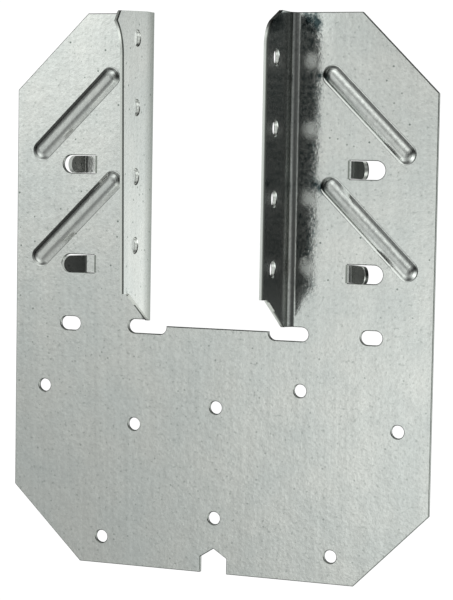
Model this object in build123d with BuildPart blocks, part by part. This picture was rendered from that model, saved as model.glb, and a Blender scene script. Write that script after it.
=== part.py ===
# Hurricane tie: one folded sheet, an eight-sided plate with a rafter slot and two nailing flanges.
# Millimetres. X runs left to right, Y front to back with the plate's back at y = 0, Z upwards
# from the rafter seat. The flanges, the beads and the angle tabs stand forward, towards -Y.

import os
from math import acos, cos, degrees, radians, sin, tan
from build123d import *

os.makedirs("parts", exist_ok=True)

# Sheet and shearing
sheet_thickness = 1.2
bend_radius = 2.2          # inside radius where a flange leaves the plate
edge_rollover = 0.2        # edge drawn in by the punch on the front rims
outer_bend = bend_radius + sheet_thickness
line_match = 0.01          # edges and faces closer than this to a fold count as lying on it

# Plate outline
plate_half_width = 63.0
plate_top = 89.0
plate_bottom = -70.2
top_corner_cut = 22.0
bottom_corner_cut = 21.3

# Rafter slot
slot_width = 39.7
slot_side = slot_width / 2
bend_line = slot_side + outer_bend     # where the flat plate ends and the bend starts

# Relief slots at the foot of both bends
relief_height = 4.0
relief_length = 11.8
relief_centre_x = slot_side + 1.5
relief_centre_z = -0.35
relief_top = relief_centre_z + relief_height / 2

# Locating notch in the bottom edge
notch_half_width = 4.0
notch_shoulder = 4.5
notch_depth = 7.1

# Nail holes in the plate
nail_hole = 3.7
plate_nails_z = -22.5          # height of the middle hole of the zigzag row
inner_nail_x = 25.1
inner_nail_step = 6.25         # the inner pair stands this far above and below
outer_nail_x = 53.6
outer_nail_step = 3.5
corner_nail_x = 34.9
corner_nail_z = -62.4
lower_nail_z = -54.3

# Obround holes beside the seat
obround_length = 6.3
obround_height = 4.0
obround_x = 45.5
obround_z = -0.4

# Flanges
flange_depth = 22.2            # from the plate's back to the free edge
flange_heel = 10.4             # where the free edge ends above the seat
heel_slope = 30                # degrees, from the heel down to the relief slot
heel_foot = 3.5                # depth at which the sloping edge meets the relief slot
heel_rounding = 4.0
flange_nail_hole = 4.4
flange_nail_depth = 14.7
flange_nail_pitch = 19.2
flange_nail_count = 4
left_top_nail = 81.2
right_top_nail = 76.0

# The cut that parted the two flanges in the flat sheet swings to one side near the top
parting_start = 10.4           # below the top edge
parting_radius = 8.0
parting_sweep = 68             # degrees turned before the cut runs straight to the top edge
horn_start = 13.0              # below the top edge, where the left flange begins to widen
horn_radius = 12.0
horn_reach = 4.4               # how far the left flange keeps the swung part
horn_top_reach = 2.1
horn_top_drop = 0.9            # its top edge falls this much towards the front
horn_top_level = 8.0           # depth to which the top edge stays level
horn_rounding = 0.8
left_edge_gain = 2.0           # the left free edge stands this much further forward at its top

# Stiffening beads
bead_crest = 0.6               # width of the flat along the crown
bead_crown_radius = 2.5
bead_foot_radius = 0.5
bead_wall_angle = 45
bead_wall_run = 0.65           # width of the straight slope between crown and foot
upper_bead_length = 29.9       # between the centres of the round ends
lower_bead_length = 31.6
upper_left_bead = (-44.4, 60.2)
upper_right_bead = (43.5, 61.0)
lower_left_bead = (-43.9, 30.0)
lower_right_bead = (44.1, 29.7)
bead_tilt = 45
bead_arcs = bead_crown_radius + bead_foot_radius
bead_half_width = bead_crest / 2 + bead_wall_run + bead_arcs * sin(radians(bead_wall_angle))
bead_height = bead_arcs * (1 - cos(radians(bead_wall_angle))) + bead_wall_run * tan(
    radians(bead_wall_angle)
)

# Angle tabs: tongues cut on three sides and bent forward on their inner end
tab_hinge_x = 38.1
tab_window_length = 10.3
tab_window_height = 5.2
tab_side_gap = 0.15
tab_bend_radius = 3.0
upper_tab_z = 45.8
lower_tab_z = 17.1
upper_left_lift = 78           # degrees bent out of the plate
lower_left_lift = 53
upper_right_lift = 54
lower_right_lift = 49

# Looking from the left: local x is the distance forward of the back, local y is the height
side_view = Plane(origin=(0, 0, 0), x_dir=(0, -1, 0), z_dir=(-1, 0, 0))


def flange_section(reach):
    # Horizontal section of the right-hand flange: a quarter bend, then a straight leg forward
    with BuildSketch(Plane.XY.offset(relief_top)) as section:
        with BuildLine():
            outside = CenterArc((bend_line, -outer_bend), outer_bend, 90, 90)
            inside = CenterArc((bend_line, -outer_bend), bend_radius, 90, 90)
            Line(outside @ 0, inside @ 0)
            Polyline(
                outside @ 1,
                (slot_side, -reach),
                (slot_side + sheet_thickness, -reach),
                inside @ 1,
            )
        make_face()
    return section.sketch


def side_outline(keeps_horn):
    # Side view of a flange: sloping foot, free edge, then the swung end of the parting cut
    heel_run = (flange_heel - relief_top) / tan(radians(heel_slope))
    parting_foot = plate_top - (horn_start if keeps_horn else parting_start)
    edge_top = flange_depth + left_edge_gain if keeps_horn else flange_depth
    with BuildSketch(side_view) as outline:
        with BuildLine():
            Polyline(
                (0, plate_top),
                (0, relief_top),
                (heel_foot, relief_top),
                (heel_foot + heel_run, flange_heel),
                (flange_depth, flange_heel),
                (edge_top, parting_foot),
            )
            if keeps_horn:
                horn_sweep = degrees(acos(1 - horn_reach / horn_radius))
                centre = (edge_top + horn_radius, parting_foot)
                swing = CenterArc(centre, horn_radius, 180, -horn_sweep)
                top_corner = (edge_top + horn_top_reach, plate_top - horn_top_drop)
                top_level = horn_top_level
            else:
                centre = (edge_top - parting_radius, parting_foot)
                swing = CenterArc(centre, parting_radius, 0, parting_sweep)
                rise = plate_top - (swing @ 1).Y
                top_corner = ((swing @ 1).X - rise * tan(radians(parting_sweep)), plate_top)
                top_level = outer_bend
            Polyline(swing @ 1, top_corner, (top_level, plate_top), (0, plate_top))
        make_face()
        heel = outline.vertices().sort_by_distance((heel_foot + heel_run, flange_heel))[0]
        fillet(heel, radius=heel_rounding)
        if keeps_horn:
            fillet(outline.vertices().sort_by_distance(top_corner)[0], radius=horn_rounding)
    return outline.sketch


def flange(keeps_horn, top_nail):
    # A right-hand flange, trimmed to its side outline and punched for nails
    reach = flange_depth + left_edge_gain + horn_reach if keeps_horn else flange_depth
    with BuildPart() as leg:
        extrude(flange_section(reach), amount=plate_top - relief_top)
        extrude(side_outline(keeps_horn), amount=plate_half_width, both=True, mode=Mode.INTERSECT)
        with BuildSketch(side_view):
            for row in range(flange_nail_count):
                with Locations((flange_nail_depth, top_nail - row * flange_nail_pitch)):
                    Circle(flange_nail_hole / 2)
        extrude(amount=plate_half_width, both=True, mode=Mode.SUBTRACT)

        # Rollover on the face away from the slot and along the inside of the bend
        outer_face = leg.faces().filter_by(Axis.X).sort_by(Axis.X)[-1]
        bend_inside = leg.faces().filter_by(
            lambda face: face.radius is not None and abs(face.radius - bend_radius) < line_match
        )
        rims = outer_face.edges() + bend_inside.edges()
        folds = rims.filter_by(Axis.Z).filter_by(lambda edge: edge.center().Y > -flange_depth / 2)
        chamfer(rims - folds, length=edge_rollover)
    return leg.part


def angle_tab(height, lift):
    # A right-hand tongue: bent forward at its hinge line, straight to a round tip
    hinge_centre = (tab_hinge_x, -sheet_thickness - tab_bend_radius)
    outer_radius = tab_bend_radius + sheet_thickness
    tongue_width = tab_window_height - 2 * tab_side_gap
    bent_length = radians(lift) * (tab_bend_radius + sheet_thickness / 2)
    straight = tab_window_length - bent_length
    along = Vector(cos(radians(lift)), -sin(radians(lift)), 0)
    with BuildPart() as tongue:
        with BuildSketch(Plane.XY.offset(height)):
            with BuildLine():
                outside = CenterArc(hinge_centre, outer_radius, 90, -lift)
                inside = CenterArc(hinge_centre, tab_bend_radius, 90, -lift)
                Line(outside @ 0, inside @ 0)
                Polyline(
                    outside @ 1,
                    outside @ 1 + along * straight,
                    inside @ 1 + along * straight,
                    inside @ 1,
                )
            make_face()
        extrude(amount=tongue_width / 2, both=True)

        # Round tip, cut square to the tongue's own face
        face_side = Vector(sin(radians(lift)), cos(radians(lift)), 0)
        bend_end = outside @ 1 + Vector(0, 0, height)
        with BuildSketch(Plane(origin=bend_end, x_dir=along, z_dir=face_side)):
            with Locations((straight - tongue_width / 2, 0)):
                Circle(tongue_width / 2)
            with Locations((straight - tongue_width / 2, 0)):
                Rectangle(2 * tab_window_length, tongue_width, align=(Align.MAX, Align.CENTER))
        extrude(amount=2 * tab_window_length, both=True, mode=Mode.INTERSECT)
    return tongue.part


# Flanges
right_flange = flange(False, right_top_nail)
left_flange = mirror(flange(True, left_top_nail), about=Plane.YZ)

# Angle tabs
tab_tongues = [
    angle_tab(upper_tab_z, upper_right_lift),
    angle_tab(lower_tab_z, lower_right_lift),
    mirror(angle_tab(upper_tab_z, upper_left_lift), about=Plane.YZ),
    mirror(angle_tab(lower_tab_z, lower_left_lift), about=Plane.YZ),
]


def stiffening_bead(length):
    # A bead along X, of true sheet thickness, with its crown forward
    crown = (bead_crest / 2, sheet_thickness + bead_height - bead_crown_radius)
    foot = (bead_half_width, sheet_thickness + bead_foot_radius)
    inner_crown_radius = bead_crown_radius - sheet_thickness
    outer_foot_radius = bead_foot_radius + sheet_thickness
    across_bead = Plane(origin=(0, 0, 0), x_dir=(0, 0, 1), z_dir=(1, 0, 0))
    with BuildPart() as bead:
        with BuildSketch(across_bead) as half_section:
            with BuildLine():
                front_crown = CenterArc(crown, bead_crown_radius, 90, -bead_wall_angle)
                back_crown = CenterArc(crown, inner_crown_radius, 90, -bead_wall_angle)
                front_foot = CenterArc(foot, bead_foot_radius, -90, -bead_wall_angle)
                back_foot = CenterArc(foot, outer_foot_radius, -90, -bead_wall_angle)
                Polyline(
                    front_crown @ 0,
                    (0, sheet_thickness + bead_height),
                    (0, bead_height),
                    back_crown @ 0,
                )
                Line(front_foot @ 0, back_foot @ 0)
                Line(front_crown @ 1, front_foot @ 1)
                Line(back_crown @ 1, back_foot @ 1)
            make_face()
        extrude(amount=length / 2, both=True)
        mirror(about=Plane.XY)
        for end in (-1, 1):
            round_end = Plane(origin=(end * length / 2, 0, 0), x_dir=(0, 0, 1), z_dir=(1, 0, 0))
            with BuildSketch(round_end):
                add(half_section.sketch_local)
            turn_axis = Axis((end * length / 2, 0, 0), (0, end, 0))
            revolve(axis=turn_axis, revolution_arc=180)
    return bead.part


# The tie
upper_bead = stiffening_bead(upper_bead_length)
lower_bead = stiffening_bead(lower_bead_length)
bead_spots = [
    (upper_left_bead, bead_tilt, upper_bead_length, upper_bead),
    (upper_right_bead, -bead_tilt, upper_bead_length, upper_bead),
    (lower_left_bead, bead_tilt, lower_bead_length, lower_bead),
    (lower_right_bead, -bead_tilt, lower_bead_length, lower_bead),
]
plate_nails = [
    (0, plate_nails_z),
    (-inner_nail_x, plate_nails_z - inner_nail_step),
    (inner_nail_x, plate_nails_z + inner_nail_step),
    (-outer_nail_x, plate_nails_z + outer_nail_step),
    (outer_nail_x, plate_nails_z - outer_nail_step),
    (-corner_nail_x, corner_nail_z),
    (corner_nail_x, corner_nail_z),
    (0, lower_nail_z),
]
with BuildPart() as tie_plate:
    # Eight-sided plate, open at the top for the rafter
    with BuildSketch(Plane.XZ):
        with BuildLine():
            Polyline(
                (bend_line, plate_top),
                (plate_half_width - top_corner_cut, plate_top),
                (plate_half_width, plate_top - top_corner_cut),
                (plate_half_width, plate_bottom + bottom_corner_cut),
                (plate_half_width - bottom_corner_cut, plate_bottom),
                (notch_half_width, plate_bottom),
                (notch_half_width, plate_bottom + notch_shoulder),
                (0, plate_bottom + notch_depth),
                (0, 0),
                (bend_line, 0),
                close=True,
            )
        make_face()
        mirror(about=Plane.YZ)
    extrude(amount=sheet_thickness)

    # Relief slots
    with BuildSketch(Plane.XZ):
        with Locations((-relief_centre_x, relief_centre_z), (relief_centre_x, relief_centre_z)):
            SlotOverall(relief_length, relief_height)
    extrude(amount=sheet_thickness, mode=Mode.SUBTRACT)

    # Nail holes and the obround holes beside the seat
    with BuildSketch(Plane.XZ):
        with Locations(*plate_nails):
            Circle(nail_hole / 2)
        with Locations((-obround_x, obround_z), (obround_x, obround_z)):
            SlotOverall(obround_length, obround_height)
    extrude(amount=sheet_thickness, mode=Mode.SUBTRACT)

    # Windows of the angle tabs
    with BuildSketch(Plane.XZ):
        for side in (-1, 1):
            for height in (lower_tab_z, upper_tab_z):
                round_x = tab_hinge_x + tab_window_length - tab_window_height / 2
                with Locations((side * round_x, height)):
                    Circle(tab_window_height / 2)
                with Locations((side * (tab_hinge_x + round_x) / 2, height)):
                    Rectangle(round_x - tab_hinge_x, tab_window_height)
    extrude(amount=sheet_thickness, mode=Mode.SUBTRACT)

    # Rollover on the punched front rims; hinge lines and bend lines are not rims
    rims = tie_plate.faces().sort_by(Axis.Y)[0].edges()
    folds = rims.filter_by(Axis.Z).filter_by(
        lambda edge: min(abs(abs(edge.center().X) - x) for x in (bend_line, tab_hinge_x))
        < line_match
    )
    chamfer(rims - folds, length=edge_rollover)

    # Openings that the beads fill
    with BuildSketch(Plane.XZ):
        for spot, tilt, length, bead in bead_spots:
            with Locations(spot):
                SlotCenterToCenter(length, 2 * bead_half_width, rotation=tilt)
    extrude(amount=sheet_thickness, mode=Mode.SUBTRACT)

    # Beads
    for (x, z), tilt, length, bead in bead_spots:
        with Locations(Location((x, 0, z), (0, -tilt, 0))):
            add(bead)

    add(left_flange)
    add(right_flange)
    for tongue in tab_tongues:
        add(tongue)

tie_plate.part.label = "tie_plate"
export_step(tie_plate.part, "parts/tie_plate.step")
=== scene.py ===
from math import cos, log, radians, sin
from types import SimpleNamespace

import bpy
from mathutils import Matrix

# Hurricane tie of folded galvanised sheet. Metres: X left to right, Y front to back, Z up,
# the plate's back at y = 0 and the rafter seat at z = 0.
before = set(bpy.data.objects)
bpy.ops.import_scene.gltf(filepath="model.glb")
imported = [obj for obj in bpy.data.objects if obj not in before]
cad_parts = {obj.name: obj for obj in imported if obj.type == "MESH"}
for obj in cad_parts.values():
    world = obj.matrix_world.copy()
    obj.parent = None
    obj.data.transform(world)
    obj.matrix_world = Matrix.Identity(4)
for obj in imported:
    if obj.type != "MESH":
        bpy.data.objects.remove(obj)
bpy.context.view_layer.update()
print("frame loaded:", ", ".join(sorted(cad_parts)))


def toLinear(hexColour):
    # sRGB hex to linear: c / 12.92 below 0.04045, else ((c + 0.055) / 1.055) ^ 2.4
    parts = [int(hexColour[i:i + 2], 16) / 255 for i in (1, 3, 5)]
    return tuple(c / 12.92 if c <= 0.04045 else ((c + 0.055) / 1.055) ** 2.4 for c in parts) + (1,)


def addNode(tree, kind, settings=(), links=()):
    # One node: settings go to its properties or, where the name is a socket's, to that socket.
    # A link starts at a socket or, where it is given a node, at that node's first output in use.
    node = tree.nodes.new(kind)
    for name, value in dict(settings).items():
        if isinstance(name, int) or name in node.inputs:
            node.inputs[name].default_value = value
        else:
            setattr(node, name, value)
    for name, source in dict(links).items():
        if isinstance(source, bpy.types.Node):
            source = next(output for output in source.outputs if output.enabled)
        tree.links.new(source, node.inputs[name])
    return node


def per(millimetres):
    # Texture scale for a pattern of this size, on Object coordinates in metres
    return 1000 / millimetres


def ramp(limits, results=(0.0, 1.0)):
    # Settings of a Map Range node: the limits of what goes in, and of what comes out
    return {"From Min": limits[0], "From Max": limits[1], "To Min": results[0], "To Max": results[1]}


# Places on the folded sheet in mm. Outward is the distance from the slot's middle, left or right.
sheet = {
    "frontSide": -0.9,           # y, in front of this lie the plate's face and all that is folded
    "proud": -1.25,              # y, just in front of the plate's face
    "rim": (-1.1, 0.11),         # y, the punched rims' rounding and half its depth
    "rimSlant": (-0.7, 0.2),     # the normal's Y on that rounding, and how far it varies
    "torn": (-0.75, -0.55),      # y, where the plate's sheared edges begin to be torn
    "flangeStart": -3.41,        # y, where the bends have become the flanges
    "nailRow": (-14.7, 2.4),     # y, the flanges' nail rows and half their width
    "foldShade": (-9.0, -3.0),   # y, the flanges darken from here to there
    "flangeFar": 21.3,           # outward, just past the flanges' far faces
    "foldEnd": 23.5,             # outward, past the folds
    "leftSlotSide": (-20.45, -20.25),   # x, across the left flange's edge
    "leftFarSide": (-20.45, -20.65),
    "rightFarSide": (20.35, 20.75),
    "slopeTop": 10.0,            # z, the flanges' lower edges slope below this
    "plateStart": 23.3,          # x, where the right-hand fold has become the plate
    "beadLines": (73.8, 104.5),  # x + z along the right-hand beads, the lower and the upper one
    "beadsPart": 45.4,           # z, the upper bead lies above this and the lower one below
    "crownSlope": (0.78, 0.88),  # the normal's Y, from a bead's flank to its crown
    "edgeOn": 0.3,               # a sheared edge's normal has less than this of the faces' direction
    "sideSlant": 0.5,            # the normal's Z on a tongue's sides is above this
    "tipSlant": -1.0,            # x * normal X * normal Y at a tongue's tip is below this
    "tabRows": (45.8, 17.1),     # z, the upper and the lower angle tabs
    "tabHalf": 2.55,             # half the height of a tab's window
    "tongue": (44.5, 6.2),       # outward, the middle and half the length of a tongue's room
    "hinge": (37.95, 0.28),      # outward, a tongue's hinge line and half its width
    "root": (39.2, 0.95),        # outward, the left tongues' gentle roots
    "rightLift": 51.5,           # degrees, the right tongues' lift
    "rightShadowedBack": (30.7, 30.9),   # how far along their normal the right tongues' backs lie, painted dark as shadow
    "topNail": 75.8,             # z, the right flange's top nail hole
    "nailPitch": 19.2,
}

zinc = {
    "paleTint": "#DDDCDA",       # skin-passed zinc
    "coolTint": "#D7D8D7",       # where the chromate film is thicker
    "pitTint": "#808783",
    "paintedShadeTint": "#A9ACA8",       # painted shade on the punched rims, on the flanges towards their folds and on the tongues' hinge lines
    "roughness": 0.15,
    "cloudSize": 16,             # mm, drift of the coat's tone
    "grainSize": 0.8,            # mm, drawn coarser than the real 0.2 mm so that it shows
    "grainDepth": 0.028,         # mm
    "waveSize": 3.5,             # mm, orange peel left by the dip
    "waveDepth": 0.03,           # mm
    "streakWidth": 1.4,          # mm, rolling marks across
    "streakLength": 45,          # mm, and along
    "pitSpacing": 2.2,           # mm
    "pitSize": 0.36,             # mm, radius
    "pitCut": 0.53,              # pits whose random brightness is below this are left out
    "pitFade": (-20.0, 30.0),    # z, mm, the pits are faint below and full above
    "pitFaint": 0.45,
    "fleckSize": 1.1,            # mm
    "fleckNoise": (0.62, 0.76),  # noise levels from no fleck to a full one
    "fleckStrength": 0.35,
    "cloudNoise": (0.35, 0.65),  # noise levels between which the tint goes from pale to cool
    "grainNoise": (0.3, 0.7),
    "grainTone": (0.93, 1.07),   # darkest and brightest grain, streak
    "streakTone": (0.96, 1.04),
    "glossDrift": 0.02,          # roughness, up and down
    "flangeReflectionTint": "#8C9B9D",        # painted reflection of the dark right-hand flange in the plate beside its fold, and painted shade on that flange's outer face
    "mottleSize": 1.0,             # mm, mottle of that painted dark and of the painted highlights
    "mottleNoise": (0.40, 0.66),
    "raggedSize": 2.2,           # mm, lobes of its ragged edge
    "raggedEdge": 7.0,           # mm, how far they move the strip's edge
    "raggedHoleGap": 4.0,           # mm, edges of the paler places where the flange's nail holes are reflected
    "raggedHoleReflection": 3.0,           # mm, the painted hole reflections'
    "raggedBlot": 5.0,          # mm, the dark blots'
    "reflectionFrom": 20.9,          # x, mm: the flange's far face
    "reflectionTo": (33.3, 31.0),    # x, mm, with the raggedness added: none here, all there
    "unpaintedFold": (22.3, 1.15),   # x, mm, the bend itself is left unpainted over this half width
    "reflectionEnd": (8.0, 16.0),    # z, mm, the painted dark begins between these
    "reflectedHoles": (3.5, 6.0),        # mm from a nail hole's height, raggedness added: pale here, dark there, a painted reflection of the flange's nail holes
    "flangeShadeShare": 0.75,         # how strong the painted shade is on the flange's outer face
    "wornX": 26.4,               # x, mm, painted reflections of the flange's nail holes: paler spots beside them
    "wornReach": (4.2, 1.6),     # mm, raggedness added: none here, full there
    "wornStrength": 0.9,
    "darkBlotTint": "#56666A",      # dark blots, with their places and radii in mm: the first two at the strip's top, the rest painted shade at the right-hand beads' upper ends
    "darkBlots": ((25.3, 86.6, 1.5), (27.6, 85.8, 1.9), (31.4, 71.3, 1.5), (29.3, 71.9, 0.9),
               (30.2, 40.5, 1.6), (28.4, 41.4, 0.9)),
    "blotReach": (3.2, 1.6),    # mm beyond the radius, raggedness added: none here, full there
    "highlightTint": "#FBFBF9",      # painted highlight on the right-hand beads, also the pale of the painted hole reflections
    "highlightSide": (-0.35, 0.35),  # the normal's X + Z, from a bead's lower side to its upper one
    "highlightLeast": 0.2,
    "footStrip": (-3.80, 0.55),  # x + z, mm, from a right-hand bead's middle line to its flat foot
    "shearTint": "#F2F2EF",      # burnished part of a sheared edge
    "tornAndShadowTint": "#5A5C59",   # torn part; also painted shadow on the right tongues' backs and dark lines along the flanges' edges
    "shearRoughness": 0.35,
    "beadRoughness": 0.32,       # stretched zinc is crazed and duller
    "wornRoughness": 0.38,
    "bow": 0.10,                 # mm, how much the plate's bow beside the right-hand fold grows
    "bowStep": 30.0,             # mm, over each such height
    "bowAcross": (23.0, 33.0),   # x, mm
    "bowAlong": (15.0, 105.0),   # z, mm
    "rolledNormal": (-0.07, -0.90, 0.43),   # the left tongues' tips, rolled over upwards
}


def readPlaces(tree):
    # Place in mm, the surface's true direction, and which side of the slot a point is on
    geometry = addNode(tree, "ShaderNodeNewGeometry")
    place = addNode(tree, "ShaderNodeTexCoord").outputs["Object"]
    millimetres = addNode(tree, "ShaderNodeVectorMath", {"operation": "SCALE", "Scale": 1000}, {0: place})
    where = addNode(tree, "ShaderNodeSeparateXYZ", (), {"Vector": millimetres}).outputs
    facing = addNode(tree, "ShaderNodeSeparateXYZ", (), {"Vector": geometry.outputs["True Normal"]}).outputs
    turned = addNode(tree, "ShaderNodeVectorMath", {"operation": "ABSOLUTE"},
                     {0: geometry.outputs["True Normal"]})
    steep = addNode(tree, "ShaderNodeSeparateXYZ", (), {"Vector": turned}).outputs
    return SimpleNamespace(
        place=place, millimetres=millimetres, x=where["X"], y=where["Y"], z=where["Z"],
        smooth=geometry.outputs["Normal"], facing=facing, steep=steep,
        outward=addNode(tree, "ShaderNodeMath", {"operation": "ABSOLUTE"}, {0: where["X"]}),
        onLeft=addNode(tree, "ShaderNodeMath", {"operation": "LESS_THAN", 1: 0.0}, {0: where["X"]}),
        front=addNode(tree, "ShaderNodeMath", {"operation": "LESS_THAN", 1: sheet["frontSide"]},
                      {0: where["Y"]}),
        onPlate=addNode(tree, "ShaderNodeMath", {"operation": "GREATER_THAN", 1: sheet["plateStart"]},
                        {0: where["X"]}))


def findZones(tree, at):
    # In front of the sheet's face, the tongues and their room, the beads and their crowns
    at.proud = addNode(tree, "ShaderNodeMath", {"operation": "LESS_THAN", 1: sheet["proud"]}, {0: at.y})
    upper, lower = [addNode(tree, "ShaderNodeMath", {"operation": "COMPARE", 1: row, 2: sheet["tabHalf"]},
                            {0: at.z}) for row in sheet["tabRows"]]
    at.tabRows = addNode(tree, "ShaderNodeMath", {"operation": "MAXIMUM"}, {0: upper, 1: lower})
    middle, half = sheet["tongue"]
    span = addNode(tree, "ShaderNodeMath", {"operation": "COMPARE", 1: middle, 2: half}, {0: at.outward})
    room = addNode(tree, "ShaderNodeMath", {"operation": "MULTIPLY"}, {0: at.tabRows, 1: span})
    at.tongue = addNode(tree, "ShaderNodeMath", {"operation": "MULTIPLY"}, {0: room, 1: at.proud})
    besideFlange = addNode(tree, "ShaderNodeMath", {"operation": "GREATER_THAN", 1: sheet["foldEnd"]},
                           {0: at.outward})
    raised = addNode(tree, "ShaderNodeMath", {"operation": "MULTIPLY"}, {0: besideFlange, 1: at.proud})
    at.bead = addNode(tree, "ShaderNodeMath", {"operation": "SUBTRACT", "use_clamp": True},
                      {0: raised, 1: room})
    flatTop = addNode(tree, "ShaderNodeMapRange", ramp(sheet["crownSlope"]), {"Value": at.steep["Y"]})
    at.crown = addNode(tree, "ShaderNodeMath", {"operation": "MULTIPLY"}, {0: at.bead, 1: flatTop})
    at.flangeSpan = addNode(tree, "ShaderNodeMath", {"operation": "LESS_THAN", 1: sheet["flangeFar"]},
                            {0: at.outward})
    at.tip = tongueTip(tree, at)


def tongueTip(tree, at):
    # At a tongue's tip the normal's X and Y point opposite ways from its faces'
    slant = addNode(tree, "ShaderNodeMath", {"operation": "MULTIPLY"}, {0: at.facing["X"], 1: at.facing["Y"]})
    signed = addNode(tree, "ShaderNodeMath", {"operation": "MULTIPLY"}, {0: slant, 1: at.x})
    return addNode(tree, "ShaderNodeMath", {"operation": "LESS_THAN", 1: sheet["tipSlant"]}, {0: signed})


def addPatterns(tree, at):
    # The noises that several parts of the finish share
    at.cloud = addNode(tree, "ShaderNodeTexNoise", {"Scale": per(zinc["cloudSize"]), "Detail": 2.0},
                       {"Vector": at.place})
    at.grain = addNode(tree, "ShaderNodeTexNoise", {"Scale": per(zinc["grainSize"]), "Detail": 2.0,
                                                    "Roughness": 0.6}, {"Vector": at.place})
    at.wave = addNode(tree, "ShaderNodeTexNoise", {"Scale": per(zinc["waveSize"]), "Detail": 1.0},
                      {"Vector": at.place})
    at.ragged = addNode(tree, "ShaderNodeTexNoise", {"Scale": per(zinc["raggedSize"]), "Detail": 3.0,
                                                     "Roughness": 0.7}, {"Vector": at.place})
    mottle = addNode(tree, "ShaderNodeTexNoise", {"Scale": per(zinc["mottleSize"]), "Detail": 2.0,
                                                  "Roughness": 0.7}, {"Vector": at.place})
    at.mottled = addNode(tree, "ShaderNodeMapRange", ramp(zinc["mottleNoise"]), {"Value": mottle})


def coatColour(tree, at):
    # Cloudy tone, grain and streaks along the sheet
    across, along = per(zinc["streakWidth"]), per(zinc["streakLength"])
    stretched = addNode(tree, "ShaderNodeMapping", {"Scale": (across, across, along)}, {"Vector": at.place})
    streak = addNode(tree, "ShaderNodeTexNoise", {"Scale": 1.0, "Detail": 2.0}, {"Vector": stretched})
    cloudy = addNode(tree, "ShaderNodeMapRange", ramp(zinc["cloudNoise"]), {"Value": at.cloud})
    tint = addNode(tree, "ShaderNodeMix", {"data_type": "RGBA", 6: toLinear(zinc["paleTint"]),
                                           7: toLinear(zinc["coolTint"])}, {0: cloudy})
    grainy = addNode(tree, "ShaderNodeMapRange", ramp(zinc["grainNoise"], zinc["grainTone"]),
                     {"Value": at.grain})
    streaky = addNode(tree, "ShaderNodeMapRange", ramp(zinc["grainNoise"], zinc["streakTone"]),
                      {"Value": streak})
    both = addNode(tree, "ShaderNodeMath", {"operation": "MULTIPLY"}, {0: grainy, 1: streaky})
    return addNode(tree, "ShaderNodeVectorMath", {"operation": "SCALE"}, {0: tint, "Scale": both})


def pitted(tree, at, colour):
    # Small dark pits, fainter low down, and dark flecks; the beads are free of both
    speck = addNode(tree, "ShaderNodeTexVoronoi", {"Scale": per(zinc["pitSpacing"])}, {"Vector": at.place})
    radius = zinc["pitSize"] / zinc["pitSpacing"]
    pits = addNode(tree, "ShaderNodeMapRange", ramp((radius, 0.6 * radius)),
                   {"Value": speck.outputs["Distance"]})
    kept = addNode(tree, "ShaderNodeMath", {"operation": "GREATER_THAN", 1: zinc["pitCut"]},
                   {0: speck.outputs["Color"]})
    higher = addNode(tree, "ShaderNodeMapRange", ramp(zinc["pitFade"], (zinc["pitFaint"], 1.0)),
                     {"Value": at.z})
    strong = addNode(tree, "ShaderNodeMath", {"operation": "MULTIPLY"}, {0: pits, 1: higher})
    keptPits = addNode(tree, "ShaderNodeMath", {"operation": "MULTIPLY"}, {0: strong, 1: kept})
    dirt = addNode(tree, "ShaderNodeTexNoise", {"Scale": per(zinc["fleckSize"]), "Detail": 1.0},
                   {"Vector": at.place})
    flecks = addNode(tree, "ShaderNodeMapRange", ramp(zinc["fleckNoise"], (0.0, zinc["fleckStrength"])),
                     {"Value": dirt})
    anySpots = addNode(tree, "ShaderNodeMath", {"operation": "MAXIMUM"}, {0: keptPits, 1: flecks})
    spots = addNode(tree, "ShaderNodeMath", {"operation": "SUBTRACT", "use_clamp": True},
                    {0: anySpots, 1: at.bead})
    return addNode(tree, "ShaderNodeMix", {"data_type": "RGBA", 7: toLinear(zinc["pitTint"])},
                   {0: spots, 6: colour})


def paintedShade(tree, at, colour):
    # Painted shade: on the punched rims, which are drawn in at a slant from the plate's face
    rimY, rimHalf = sheet["rim"]
    rimLevel = addNode(tree, "ShaderNodeMath", {"operation": "COMPARE", 1: rimY, 2: rimHalf}, {0: at.y})
    slantY, slantHalf = sheet["rimSlant"]
    rimSlant = addNode(tree, "ShaderNodeMath", {"operation": "COMPARE", 1: slantY, 2: slantHalf},
                       {0: at.facing["Y"]})
    drawnIn = addNode(tree, "ShaderNodeMath", {"operation": "MULTIPLY"}, {0: rimLevel, 1: rimSlant})
    # on the flanges, darker towards their folds, where shade gathers in the corner
    towardsFold = addNode(tree, "ShaderNodeMapRange", ramp(sheet["foldShade"]), {"Value": at.y})
    flangeFace = addNode(tree, "ShaderNodeMath", {"operation": "MULTIPLY"}, {0: at.flangeSpan, 1: at.proud})
    foldShadeMask = addNode(tree, "ShaderNodeMath", {"operation": "MULTIPLY"}, {0: flangeFace, 1: towardsFold})
    # and a painted crease shadow on the hinge line at the root of each tongue
    hingeX, hingeHalf = sheet["hinge"]
    hinge = addNode(tree, "ShaderNodeMath", {"operation": "COMPARE", 1: hingeX, 2: hingeHalf},
                    {0: at.outward})
    hingeLine = addNode(tree, "ShaderNodeMath", {"operation": "MULTIPLY"}, {0: at.tabRows, 1: hinge})
    rimShade = addNode(tree, "ShaderNodeMath", {"operation": "MAXIMUM"}, {0: drawnIn, 1: hingeLine})
    shadeMask = addNode(tree, "ShaderNodeMath", {"operation": "MAXIMUM"}, {0: rimShade, 1: foldShadeMask})
    return addNode(tree, "ShaderNodeMix", {"data_type": "RGBA", "blend_type": "MULTIPLY",
                                           7: toLinear(zinc["paintedShadeTint"])}, {0: shadeMask, 6: colour})


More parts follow.
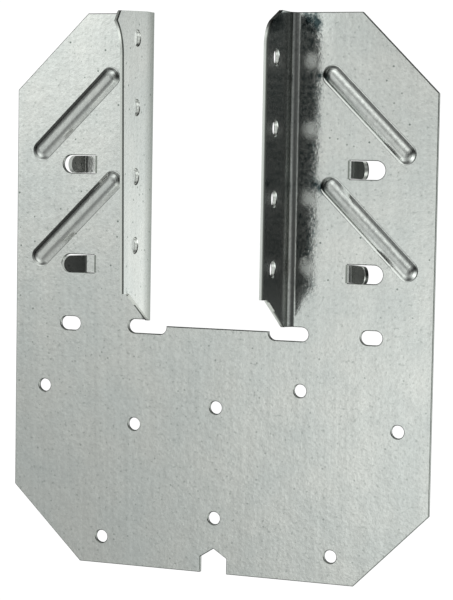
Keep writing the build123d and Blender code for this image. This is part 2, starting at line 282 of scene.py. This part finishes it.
def paintedFlangeReflection(tree, at, colour):
    # Painted reflection and shade: mottled dark on the right-hand flange's outer face and, as that flange's
    # reflection, on the plate beside its fold: a strip with a ragged edge, paler on the plate beside the nail
    # holes
    raggedX = addNode(tree, "ShaderNodeMath", {"operation": "MULTIPLY_ADD", 1: zinc["raggedEdge"]},
                      {0: at.ragged, 2: at.x})
    stripEdge = addNode(tree, "ShaderNodeMapRange", ramp(zinc["reflectionTo"]), {"Value": raggedX})
    stripStart = addNode(tree, "ShaderNodeMath", {"operation": "GREATER_THAN", 1: zinc["reflectionFrom"]},
                         {0: at.x})
    foldX, foldHalf = zinc["unpaintedFold"]
    fromFold = addNode(tree, "ShaderNodeMath", {1: -foldX}, {0: at.x})
    eitherWay = addNode(tree, "ShaderNodeMath", {"operation": "ABSOLUTE"}, {0: fromFold})
    besideFold = addNode(tree, "ShaderNodeMath", {"operation": "GREATER_THAN", 1: foldHalf}, {0: eitherWay})
    stripEnd = addNode(tree, "ShaderNodeMapRange", ramp(zinc["reflectionEnd"]), {"Value": at.z})
    fromTopNail = addNode(tree, "ShaderNodeMath", {1: -sheet["topNail"]}, {0: at.z})
    fromNail = addNode(tree, "ShaderNodeMath", {"operation": "PINGPONG", 1: sheet["nailPitch"] / 2},
                       {0: fromTopNail})
    raggedNail = addNode(tree, "ShaderNodeMath", {"operation": "MULTIPLY_ADD", 1: zinc["raggedHoleGap"]},
                         {0: at.ragged, 2: fromNail})
    reflectedHoles = addNode(tree, "ShaderNodeMapRange", ramp(zinc["reflectedHoles"]), {"Value": raggedNail})
    darkShare = addNode(tree, "ShaderNodeMix", {2: zinc["flangeShadeShare"]}, {0: at.onPlate, 3: reflectedHoles})
    strip = stripEdge
    for mask in (stripStart, besideFold, stripEnd, at.front):
        strip = addNode(tree, "ShaderNodeMath", {"operation": "MULTIPLY"}, {0: strip, 1: mask})
    dense = addNode(tree, "ShaderNodeMath", {"operation": "MULTIPLY"}, {0: at.mottled, 1: darkShare})
    reflectedDark = addNode(tree, "ShaderNodeMath", {"operation": "MULTIPLY"}, {0: strip, 1: dense})
    at.worn = wornSpots(tree, at, strip, fromNail)
    return addNode(tree, "ShaderNodeMix", {"data_type": "RGBA", "blend_type": "MULTIPLY",
                                           7: toLinear(zinc["flangeReflectionTint"])}, {0: reflectedDark, 6: colour})


def wornSpots(tree, at, strip, fromNail):
    # A painted reflection of light through the flange's nail holes: a paler, duller spot in the strip beside
    # each nail hole
    plateStrip = addNode(tree, "ShaderNodeMath", {"operation": "MULTIPLY"}, {0: strip, 1: at.onPlate})
    sideways = addNode(tree, "ShaderNodeMath", {1: -zinc["wornX"]}, {0: at.x})
    fromSpot = addNode(tree, "ShaderNodeCombineXYZ", (), {0: sideways, 1: fromNail})
    away = addNode(tree, "ShaderNodeVectorMath", {"operation": "LENGTH"}, {0: fromSpot})
    rough = addNode(tree, "ShaderNodeMath", {"operation": "MULTIPLY_ADD", 1: zinc["raggedHoleReflection"]},
                    {0: at.ragged, 2: away})
    spot = addNode(tree, "ShaderNodeMapRange", ramp(zinc["wornReach"], (0.0, zinc["wornStrength"])),
                   {"Value": rough})
    return addNode(tree, "ShaderNodeMath", {"operation": "MULTIPLY"}, {0: plateStrip, 1: spot})


def paintedDarkBlots(tree, at, colour):
    # Dark blots with ragged edges: at the strip's top, and painted shade at the upper ends of the right-hand
    # beads
    flat = addNode(tree, "ShaderNodeVectorMath", {"operation": "MULTIPLY", 1: (1, 0, 1)}, {0: at.millimetres})
    allBlots = None
    for spotX, spotZ, radius in zinc["darkBlots"]:
        away = addNode(tree, "ShaderNodeVectorMath", {"operation": "DISTANCE", 1: (spotX, 0, spotZ)},
                       {0: flat})
        rough = addNode(tree, "ShaderNodeMath", {"operation": "MULTIPLY_ADD", 1: zinc["raggedBlot"]},
                        {0: at.ragged, 2: away})
        blot = addNode(tree, "ShaderNodeMapRange", ramp([radius + reach for reach in zinc["blotReach"]]),
                       {"Value": rough})
        if allBlots is not None:
            blot = addNode(tree, "ShaderNodeMath", {"operation": "MAXIMUM"}, {0: allBlots, 1: blot})
        allBlots = blot
    for mask in (at.front, at.onPlate):
        allBlots = addNode(tree, "ShaderNodeMath", {"operation": "MULTIPLY"}, {0: allBlots, 1: mask})
    return addNode(tree, "ShaderNodeMix", {"data_type": "RGBA", "blend_type": "MULTIPLY",
                                           7: toLinear(zinc["darkBlotTint"])}, {0: allBlots, 6: colour})


def paintedHighlights(tree, at, colour):
    # Painted highlight: the right-hand beads' crowns are paler, most on their upper sides
    rightCrown = addNode(tree, "ShaderNodeMath", {"operation": "MULTIPLY"}, {0: at.crown, 1: at.onPlate})
    skyward = addNode(tree, "ShaderNodeMath", {}, {0: at.facing["X"], 1: at.facing["Z"]})
    upperSide = addNode(tree, "ShaderNodeMapRange", ramp(zinc["highlightSide"], (zinc["highlightLeast"], 1.0)),
                        {"Value": skyward})
    highlightedSide = addNode(tree, "ShaderNodeMath", {"operation": "MULTIPLY"}, {0: rightCrown, 1: upperSide})
    crownHighlight = addNode(tree, "ShaderNodeMath", {"operation": "MULTIPLY"}, {0: highlightedSide, 1: at.mottled})
    # and a painted highlight on their lower feet, which the die flattened, 2.3 to 3.1 mm from their middle
    # lines
    lowerLine, upperLine = sheet["beadLines"]
    isUpper = addNode(tree, "ShaderNodeMath", {"operation": "GREATER_THAN", 1: sheet["beadsPart"]}, {0: at.z})
    beadLine = addNode(tree, "ShaderNodeMath", {"operation": "MULTIPLY_ADD", 1: upperLine - lowerLine,
                                                2: lowerLine}, {0: isUpper})
    placeSum = addNode(tree, "ShaderNodeMath", (), {0: at.x, 1: at.z})
    acrossBead = addNode(tree, "ShaderNodeMath", {"operation": "SUBTRACT"}, {0: placeSum, 1: beadLine})
    footMiddle, footHalf = zinc["footStrip"]
    footStrip = addNode(tree, "ShaderNodeMath", {"operation": "COMPARE", 1: footMiddle, 2: footHalf},
                        {0: acrossBead})
    rightBead = addNode(tree, "ShaderNodeMath", {"operation": "MULTIPLY"}, {0: at.bead, 1: at.onPlate})
    at.foot = addNode(tree, "ShaderNodeMath", {"operation": "MULTIPLY"}, {0: rightBead, 1: footStrip})
    paleBead = addNode(tree, "ShaderNodeMath", {"operation": "MAXIMUM"}, {0: crownHighlight, 1: at.foot})
    pale = addNode(tree, "ShaderNodeMath", {"operation": "MAXIMUM"}, {0: paleBead, 1: at.worn})
    return addNode(tree, "ShaderNodeMix", {"data_type": "RGBA", 7: toLinear(zinc["highlightTint"])},
                   {0: pale, 6: colour})


def findRims(tree, at):
    # Sheared edges. On the plate: within its thickness, the normal along the sheet
    inPlate = addNode(tree, "ShaderNodeMath", {"operation": "GREATER_THAN", 1: sheet["proud"]}, {0: at.y})
    sideways = addNode(tree, "ShaderNodeMath", {"operation": "LESS_THAN", 1: sheet["edgeOn"]},
                       {0: at.steep["Y"]})
    plateRim = addNode(tree, "ShaderNodeMath", {"operation": "MULTIPLY"}, {0: inPlate, 1: sideways})
    # On a flange: in front of the bend, the normal without X
    inFlange = addNode(tree, "ShaderNodeMath", {"operation": "LESS_THAN", 1: sheet["flangeStart"]}, {0: at.y})
    upright = addNode(tree, "ShaderNodeMath", {"operation": "LESS_THAN", 1: sheet["edgeOn"]},
                      {0: at.steep["X"]})
    flangeSpot = addNode(tree, "ShaderNodeMath", {"operation": "MULTIPLY"}, {0: inFlange, 1: at.flangeSpan})
    flangeRim = addNode(tree, "ShaderNodeMath", {"operation": "MULTIPLY"}, {0: flangeSpot, 1: upright})
    # On a tongue: its tip, and its sides, which face up or down more than sideways
    level = addNode(tree, "ShaderNodeMath", {"operation": "GREATER_THAN", 1: sheet["sideSlant"]},
                    {0: at.steep["Z"]})
    tipOrSide = addNode(tree, "ShaderNodeMath", {"operation": "MAXIMUM"}, {0: at.tip, 1: level})
    at.tongueRim = addNode(tree, "ShaderNodeMath", {"operation": "MULTIPLY"}, {0: at.tongue, 1: tipOrSide})
    at.foldedRims = addNode(tree, "ShaderNodeMath", {"operation": "MAXIMUM"}, {0: flangeRim, 1: at.tongueRim})
    at.rims = addNode(tree, "ShaderNodeMath", {"operation": "MAXIMUM"}, {0: plateRim, 1: at.foldedRims})


def tornOrShadowShare(tree, at):
    # Where a rim is dark: the plate's torn part at the back; the flanges', parted by one
    # cut, at the slot side on the left and at the far side on the right, dark lines partly painted as edge
    # shade; the left flange's slope at its far side; the right tongues' backs, painted shadow
    lift = radians(sheet["rightLift"])
    acrossTongue = addNode(tree, "ShaderNodeVectorMath", {"operation": "DOT_PRODUCT",
                                                          1: (sin(lift), cos(lift), 0)}, {0: at.millimetres})
    plateTorn, leftTorn, slopeTorn, rightTorn, tongueBackShadow = [
        addNode(tree, "ShaderNodeMapRange", ramp(sheet[side]), {"Value": source})
        for side, source in (("torn", at.y), ("leftSlotSide", at.x), ("leftFarSide", at.x),
                             ("rightFarSide", at.x), ("rightShadowedBack", acrossTongue))]
    slope = addNode(tree, "ShaderNodeMath", {"operation": "LESS_THAN", 1: sheet["slopeTop"]}, {0: at.z})
    leftOrSlope = addNode(tree, "ShaderNodeMix", (), {0: slope, 2: leftTorn, 3: slopeTorn})
    flangeTorn = addNode(tree, "ShaderNodeMix", (), {0: at.onLeft, 2: rightTorn, 3: leftOrSlope})
    # The flanges' nail holes are left bright, a painted highlight on their walls
    rowY, rowHalf = sheet["nailRow"]
    fromRow = addNode(tree, "ShaderNodeMath", {1: -rowY}, {0: at.y})
    eitherWay = addNode(tree, "ShaderNodeMath", {"operation": "ABSOLUTE"}, {0: fromRow})
    awayFromNails = addNode(tree, "ShaderNodeMath", {"operation": "GREATER_THAN", 1: rowHalf},
                            {0: eitherWay})
    edgeTorn = addNode(tree, "ShaderNodeMath", {"operation": "MULTIPLY"}, {0: flangeTorn, 1: awayFromNails})
    foldedTorn = addNode(tree, "ShaderNodeMix", (), {0: at.tongueRim, 2: edgeTorn, 3: tongueBackShadow})
    return addNode(tree, "ShaderNodeMix", (), {0: at.foldedRims, 2: plateTorn, 3: foldedTorn})


def sheared(tree, at, colour):
    # Sheared edges are left bare of zinc: a burnished and a torn part; the torn tint is partly painted shade
    findRims(tree, at)
    edgeTint = addNode(tree, "ShaderNodeMix", {"data_type": "RGBA", 6: toLinear(zinc["shearTint"]),
                                               7: toLinear(zinc["tornAndShadowTint"])}, {0: tornOrShadowShare(tree, at)})
    return addNode(tree, "ShaderNodeMix", {"data_type": "RGBA"}, {0: at.rims, 6: colour, 7: edgeTint})


def sheetGloss(tree, at):
    # The coat's gloss drifts a little; beads, the painted hole reflections and sheared edges are duller
    finest, dullest = zinc["roughness"] - zinc["glossDrift"], zinc["roughness"] + zinc["glossDrift"]
    gloss = addNode(tree, "ShaderNodeMapRange", ramp(zinc["grainNoise"], (finest, dullest)),
                    {"Value": at.cloud})
    for where, roughness in ((at.crown, "beadRoughness"), (at.worn, "wornRoughness"),
                             (at.rims, "shearRoughness")):
        gloss = addNode(tree, "ShaderNodeMix", {3: zinc[roughness]}, {0: where, 2: gloss})
    return gloss


def sheetRelief(tree, at):
    # Height in mm: grain, waves, and the bow beside the right-hand fold, which grows upwards
    grainRise = addNode(tree, "ShaderNodeMath", {"operation": "MULTIPLY", 1: zinc["grainDepth"]},
                        {0: at.grain})
    waveRise = addNode(tree, "ShaderNodeMath", {"operation": "MULTIPLY_ADD", 1: zinc["waveDepth"]},
                       {0: at.wave, 2: grainRise})
    shape = addNode(tree, "ShaderNodeMapRange", {"interpolation_type": "SMOOTHSTEP",
                                                 **ramp(zinc["bowAcross"], (0.0, zinc["bow"]))},
                    {"Value": at.x})
    foot, top = zinc["bowAlong"]
    growth = addNode(tree, "ShaderNodeMapRange", ramp((foot, top), (0.0, (top - foot) / zinc["bowStep"])),
                     {"Value": at.z})
    return addNode(tree, "ShaderNodeMath", {"operation": "MULTIPLY_ADD"}, {0: shape, 1: growth, 2: waveRise})


def sheetNormal(tree, at):
    # The left tongues rise gently at the root, so the first 2 mm still shine like the plate, and so
    # do the flattened feet of the right-hand beads
    rootX, rootHalf = sheet["root"]
    root = addNode(tree, "ShaderNodeMath", {"operation": "COMPARE", 1: rootX, 2: rootHalf}, {0: at.outward})
    leftRoot = addNode(tree, "ShaderNodeMath", {"operation": "MULTIPLY"}, {0: root, 1: at.onLeft})
    gentle = addNode(tree, "ShaderNodeMath", {"operation": "MULTIPLY"}, {0: leftRoot, 1: at.tabRows})
    flattened = addNode(tree, "ShaderNodeMath", {"operation": "MAXIMUM"}, {0: gentle, 1: at.foot})
    normal = addNode(tree, "ShaderNodeMix", {"data_type": "VECTOR", 5: (0, -1, 0)},
                     {0: flattened, 4: at.smooth})
    leftTip = addNode(tree, "ShaderNodeMath", {"operation": "MULTIPLY"}, {0: at.tip, 1: at.onLeft})
    rolled = addNode(tree, "ShaderNodeMath", {"operation": "MULTIPLY"}, {0: leftTip, 1: at.tongue})
    normal = addNode(tree, "ShaderNodeMix", {"data_type": "VECTOR", 5: zinc["rolledNormal"]},
                     {0: rolled, 4: normal})
    return addNode(tree, "ShaderNodeBump", {"Strength": 1.0, "Distance": 0.001},
                   {"Height": sheetRelief(tree, at), "Normal": normal})


def galvanisedSteel():
    # Hot-dip galvanised steel sheet, skin-passed: a dull grey mirror with a fine grain that breaks up
    # what it reflects, faint rolling streaks, small dark flecks, and sheared edges left bare of zinc
    material = bpy.data.materials.new("hot_dip_galvanised_sheet_steel")
    material.use_nodes = True
    tree = material.node_tree
    tree.nodes.clear()
    at = readPlaces(tree)
    findZones(tree, at)
    addPatterns(tree, at)
    colour = coatColour(tree, at)
    # The coat's own pits and flecks come first, then painted shade, the painted reflection of the right-hand
    # flange, dark blots, painted highlights and the sheared edges' tints
    for finish in (pitted, paintedShade, paintedFlangeReflection, paintedDarkBlots, paintedHighlights, sheared):
        colour = finish(tree, at, colour)
    surface = addNode(tree, "ShaderNodeBsdfPrincipled", {"Metallic": 1.0},
                      {"Base Color": colour, "Roughness": sheetGloss(tree, at),
                       "Normal": sheetNormal(tree, at)})
    addNode(tree, "ShaderNodeOutputMaterial", (), {"Surface": surface})
    return material


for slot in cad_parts["tie_plate"].material_slots:
    slot.material = galvanisedSteel()
print("tie plate: galvanised sheet")

studio = {
    "floorDrop": 0.30,         # floor below the seat
    "floorHalf": 0.75,
    "floorTint": "#F2F2F0",
    "floorRoughness": 0.9,
    "clothGlow": 1.05,         # the white cloth behind the tie, as the camera sees it
    "lightTint": "#F9FFFB",
    # Softboxes: degrees right of straight ahead, degrees up, strength, degrees to half strength
    "softboxes": {
        "frontRight": (-10, -8, 0.95, 7.5),
        "frontWide": (-20, 0, 0.30, 14),
        "frontLeft": (-28, 8, 1.10, 8.5),
        "topLeft": (-35, 45, 0.50, 21),
        "topRight": (15, 45, 1.45, 21),
        "lowLeft": (-50, -40, 1.75, 21),
        "lowRight": (25, -50, 0.35, 24),
        "sideRight": (85, -35, 1.95, 21),
        "rearRight": (160, -10, 1.20, 17),
        "rearLeft": (-165, 5, 0.50, 15),
    },
}


def buildFloor():
    half, low = studio["floorHalf"], -studio["floorDrop"]
    mesh = bpy.data.meshes.new("studio_floor")
    mesh.from_pydata([(-half, -half, low), (half, -half, low), (half, half, low), (-half, half, low)],
                     [], [(0, 1, 2, 3)])
    floor = bpy.data.objects.new("studio_floor", mesh)
    bpy.context.scene.collection.objects.link(floor)
    paper = bpy.data.materials.new("matt_white_background_paper")
    paper.use_nodes = True
    paperSheet = paper.node_tree.nodes["Principled BSDF"].inputs
    paperSheet["Base Color"].default_value = toLinear(studio["floorTint"])
    paperSheet["Roughness"].default_value = studio["floorRoughness"]
    mesh.materials.append(paper)
    floor.visible_glossy = False      # the metal reflects the low softboxes, which shine through it


def lightStudio():
    # Softboxes in a white tent: the camera sees the white cloth, the tie the softboxes
    world = bpy.data.worlds.new("soft_studio")
    bpy.context.scene.world = world
    world.use_nodes = True
    tree = world.node_tree
    tree.nodes.clear()
    heading = addNode(tree, "ShaderNodeTexCoord").outputs["Generated"]
    tint = toLinear(studio["lightTint"])[:3]
    glow = None
    for right, up, strength, spread in studio["softboxes"].values():
        # Brightness: strength * exp(sharpness * (cosine of the angle from its middle - 1))
        sharpness = log(2) / (1 - cos(radians(spread)))
        aim = (sin(radians(right)) * cos(radians(up)), -cos(radians(right)) * cos(radians(up)),
               sin(radians(up)))
        nearness = addNode(tree, "ShaderNodeVectorMath", {"operation": "DOT_PRODUCT", 1: aim}, {0: heading})
        power = addNode(tree, "ShaderNodeMath", {"operation": "MULTIPLY_ADD", 1: sharpness,
                                                 2: log(strength) - sharpness}, {0: nearness})
        bright = addNode(tree, "ShaderNodeMath", {"operation": "EXPONENT"}, {0: power})
        box = addNode(tree, "ShaderNodeVectorMath", {"operation": "SCALE", 0: tint}, {"Scale": bright})
        if glow is not None:
            box = addNode(tree, "ShaderNodeVectorMath", {"operation": "ADD"}, {0: glow, 1: box})
        glow = box
    soft = addNode(tree, "ShaderNodeBackground", {"Strength": 1.0}, {"Color": glow})
    white = addNode(tree, "ShaderNodeBackground", {"Color": (1, 1, 1, 1), "Strength": studio["clothGlow"]})
    seen = addNode(tree, "ShaderNodeLightPath")
    mix = addNode(tree, "ShaderNodeMixShader", (), {0: seen.outputs["Is Camera Ray"], 1: soft, 2: white})
    addNode(tree, "ShaderNodeOutputWorld", (), {"Surface": mix})


buildFloor()
lightStudio()
print("studio: floor and light")

lens = {
    "place": (0.20045, -0.53690, 0.05245),
    "pan": 20.255,             # degrees to the left of straight ahead
    "tilt": -4.415,            # degrees up
    "roll": 0.992,             # degrees against the clock
    "length": 121.56,          # mm
    "sensor": 36.0,            # mm
}


def placeCamera():
    # The camera looks along its own -Z, with X to the right and Y up
    data = bpy.data.cameras.new("camera")
    data.sensor_width, data.lens = lens["sensor"], lens["length"]
    data.clip_start, data.clip_end = 0.01, 20
    camera = bpy.data.objects.new("camera", data)
    bpy.context.scene.collection.objects.link(camera)
    camera.matrix_world = (Matrix.Translation(lens["place"])
                           @ Matrix.Rotation(radians(lens["pan"]), 4, "Z")
                           @ Matrix.Rotation(radians(90 + lens["tilt"]), 4, "X")
                           @ Matrix.Rotation(radians(lens["roll"]), 4, "Z"))
    bpy.context.scene.camera = camera


placeCamera()
bpy.context.scene.view_settings.view_transform = "Standard"
print("camera placed")
